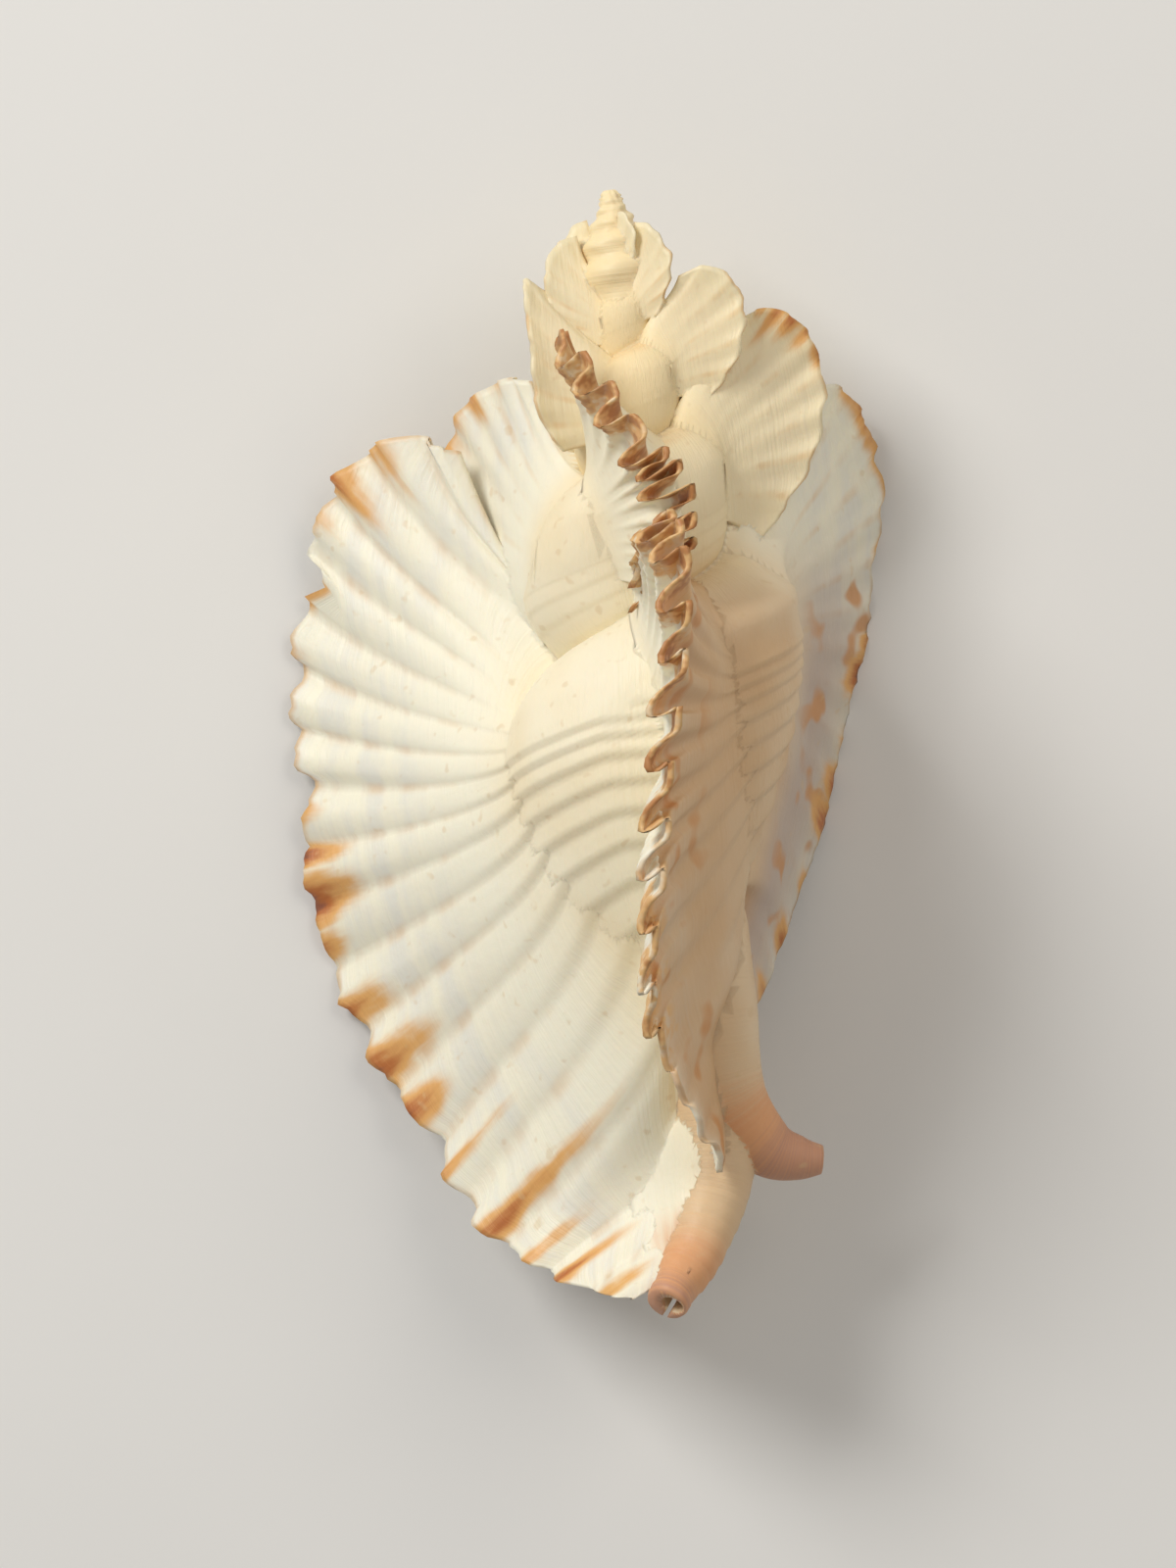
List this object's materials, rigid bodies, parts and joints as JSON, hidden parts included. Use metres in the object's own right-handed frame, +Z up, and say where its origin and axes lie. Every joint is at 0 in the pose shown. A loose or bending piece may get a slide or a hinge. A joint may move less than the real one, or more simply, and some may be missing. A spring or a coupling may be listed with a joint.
{
  "type": "murex sea shell",
  "caption": "Spindle-shaped sea snail shell with wide ribbed, frilled wings standing out from its coil, a pointed spire, an oval opening and a bent canal.",
  "frame": {"origin": "on the floor under the middle of the shell as it lies with its opening down", "axes": "+Z up, +Y along the coil's axis towards the pointed tip, +X to the right when the tip points away"},
  "size_m": [0.0452, 0.0801, 0.036],
  "materials": {
    "shell": "matte, slightly silky, cream to ivory with orange-brown blotches"
  },
  "bodies": {
    "root": {"shell": "shell"}
  },
  "joints": []
}
